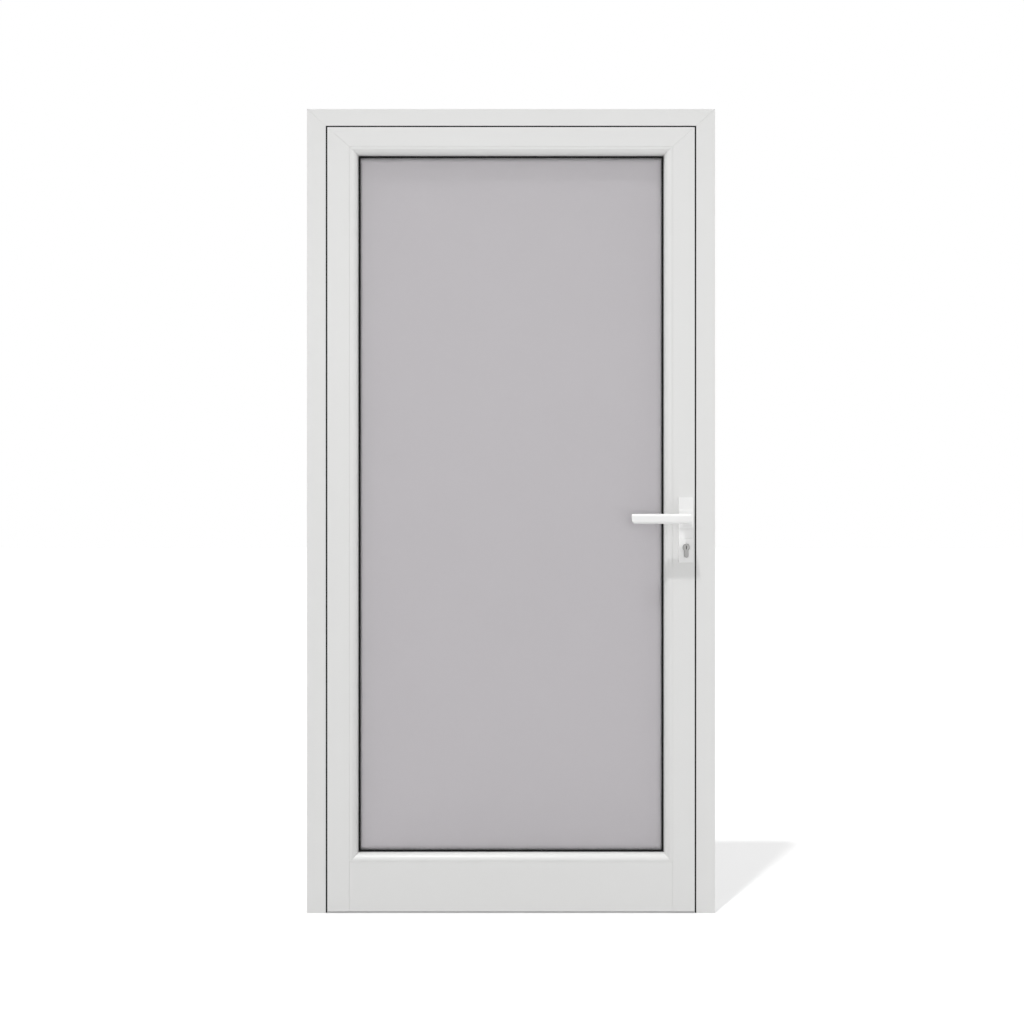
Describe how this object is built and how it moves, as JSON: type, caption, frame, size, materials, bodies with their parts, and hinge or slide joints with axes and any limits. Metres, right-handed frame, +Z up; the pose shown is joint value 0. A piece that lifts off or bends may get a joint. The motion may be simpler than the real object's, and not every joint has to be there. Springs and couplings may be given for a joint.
{
  "type": "glass door",
  "caption": "White framed glass door with an insulating satin pane, lever handles, mortice lock and back-mounted hinges, hung in its own door frame.",
  "frame": {"origin": "on the floor, in the middle of the frame's width and of its depth", "axes": "+X to the lock side as seen from the front, +Y to the back, the side the leaf opens to, +Z up"},
  "size_m": [1, 0.176, 1.97],
  "materials": {
    "white_coat": "satin powder coat",
    "white_handle": "smooth coat",
    "black_rubber": "matt",
    "satin_glass": "satin",
    "mill_aluminium": "mill",
    "zinc_steel": "zinc plated",
    "bright_steel": "brushed",
    "nickel_brass": "satin nickel"
  },
  "bodies": {
    "frame": {"frame_hinge_jamb": "white_coat", "frame_lock_jamb": "white_coat", "frame_head": "white_coat", "frame_corner_cleats": "mill_aluminium", "frame_gasket": "black_rubber", "fixing_caps": "white_handle", "strike_plate": "bright_steel", "strike_screws": "bright_steel", "hinge_top_frame_part": "white_coat", "hinge_middle_frame_part": "white_coat", "hinge_bottom_frame_part": "white_coat", "hinge_top_pin": "bright_steel", "hinge_middle_pin": "bright_steel", "hinge_bottom_pin": "bright_steel", "hinge_frame_screws": "bright_steel"},
    "leaf": {"leaf_hinge_stile": "white_coat", "leaf_lock_stile": "white_coat", "leaf_top_rail": "white_coat", "leaf_bottom_rail": "white_coat", "leaf_corner_cleats": "mill_aluminium", "bottom_rail_connectors": "mill_aluminium", "glass_front_pane": "satin_glass", "glass_rear_pane": "satin_glass", "glass_spacer": "mill_aluminium", "glass_edge_seal": "black_rubber", "setting_blocks": "black_rubber", "glazing_bead_top": "white_coat", "glazing_bead_bottom": "white_coat", "glazing_bead_hinge_side": "white_coat", "glazing_bead_lock_side": "white_coat", "glazing_gasket_front": "black_rubber", "glazing_gasket_rear": "black_rubber", "bottom_seal": "black_rubber", "lock_case": "zinc_steel", "lock_cover": "zinc_steel", "lock_faceplate": "bright_steel", "faceplate_screws": "bright_steel", "cylinder_body": "nickel_brass", "cylinder_screw": "bright_steel", "handle_base_front": "zinc_steel", "handle_base_rear": "zinc_steel", "handle_plate_front": "white_handle", "handle_plate_rear": "white_handle", "handle_screws": "bright_steel", "hinge_top_leaf_part": "white_coat", "hinge_middle_leaf_part": "white_coat", "hinge_bottom_leaf_part": "white_coat", "hinge_bushes": "black_rubber", "hinge_caps": "white_coat", "hinge_leaf_screws": "bright_steel"},
    "handle": {"lever_front": "white_handle", "lever_rear": "white_handle", "spindle": "bright_steel", "lock_follower": "zinc_steel"},
    "latch": {"latch_bolt": "bright_steel"},
    "deadbolt": {"dead_bolt": "bright_steel"},
    "key_plug": {"cylinder_plugs": "nickel_brass", "cylinder_cam": "zinc_steel"}
  },
  "joints": [
    {"name": "leaf_swing", "type": "hinge", "parent": "frame", "child": "leaf", "pos_m": [-0.468, 0.0414, 0.985], "axis": [0, 0, 1], "range_deg": [0, 110]},
    {"name": "lever_turn", "type": "hinge", "parent": "leaf", "child": "handle", "pos_m": [0.428, 0, 0.966], "axis": [0, -1, 0], "range_deg": [0, 40], "stiffness_Nm_per_rad": 1.5, "springref_deg": -28.65},
    {"name": "latch_slide", "type": "slide", "parent": "leaf", "child": "latch", "axis": [-1, 0, 0], "range_m": [0, 0.012]},
    {"name": "key_turn", "type": "hinge", "parent": "leaf", "child": "key_plug", "pos_m": [0.428, 0, 0.896], "axis": [0, 1, 0], "range_deg": [0, 360]},
    {"name": "deadbolt_slide", "type": "slide", "parent": "leaf", "child": "deadbolt", "axis": [1, 0, 0], "range_m": [0, 0.02]}
  ],
  "couplings": [
    {"joint": "latch_slide", "follows": "lever_turn", "m_per_rad": 0.017188},
    {"joint": "key_turn", "follows": "deadbolt_slide", "rad_per_m": 314.16}
  ]
}
